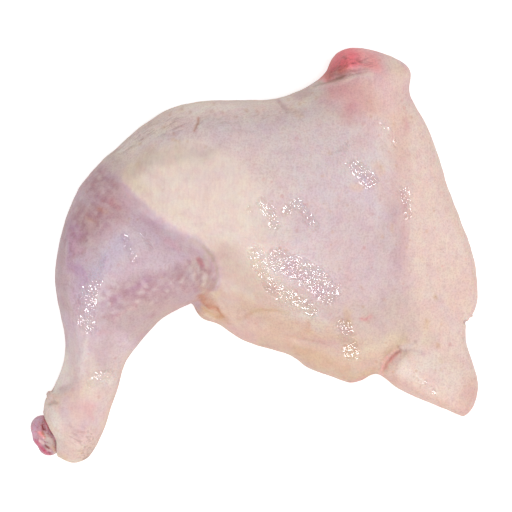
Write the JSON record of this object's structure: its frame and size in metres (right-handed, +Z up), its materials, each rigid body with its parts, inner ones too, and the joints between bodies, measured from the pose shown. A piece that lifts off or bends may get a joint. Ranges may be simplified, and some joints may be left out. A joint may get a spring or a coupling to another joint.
{
  "type": "raw chicken leg quarter",
  "caption": "Raw chicken leg quarter in its skin: drumstick bent against the thigh with a strip of back, bare knuckle at the hock, lying flat skin side up.",
  "frame": {"origin": "under the middle of the box, on the surface that the meat lies on", "axes": "+X across the thigh towards the back edge, +Y from the hock towards the hip stump, +Z up through the skin side"},
  "size_m": [0.1894, 0.1744, 0.0429],
  "materials": {
    "raw_skin": "thin moist pale skin, cream and pink over mauve muscle, with fine follicles and wet glints",
    "raw_joint": "wet gristle and bone end, lilac pink with crimson patches"
  },
  "bodies": {
    "root": {"leg_quarter": "raw_skin", "hock_knuckle": "raw_joint"}
  },
  "joints": []
}
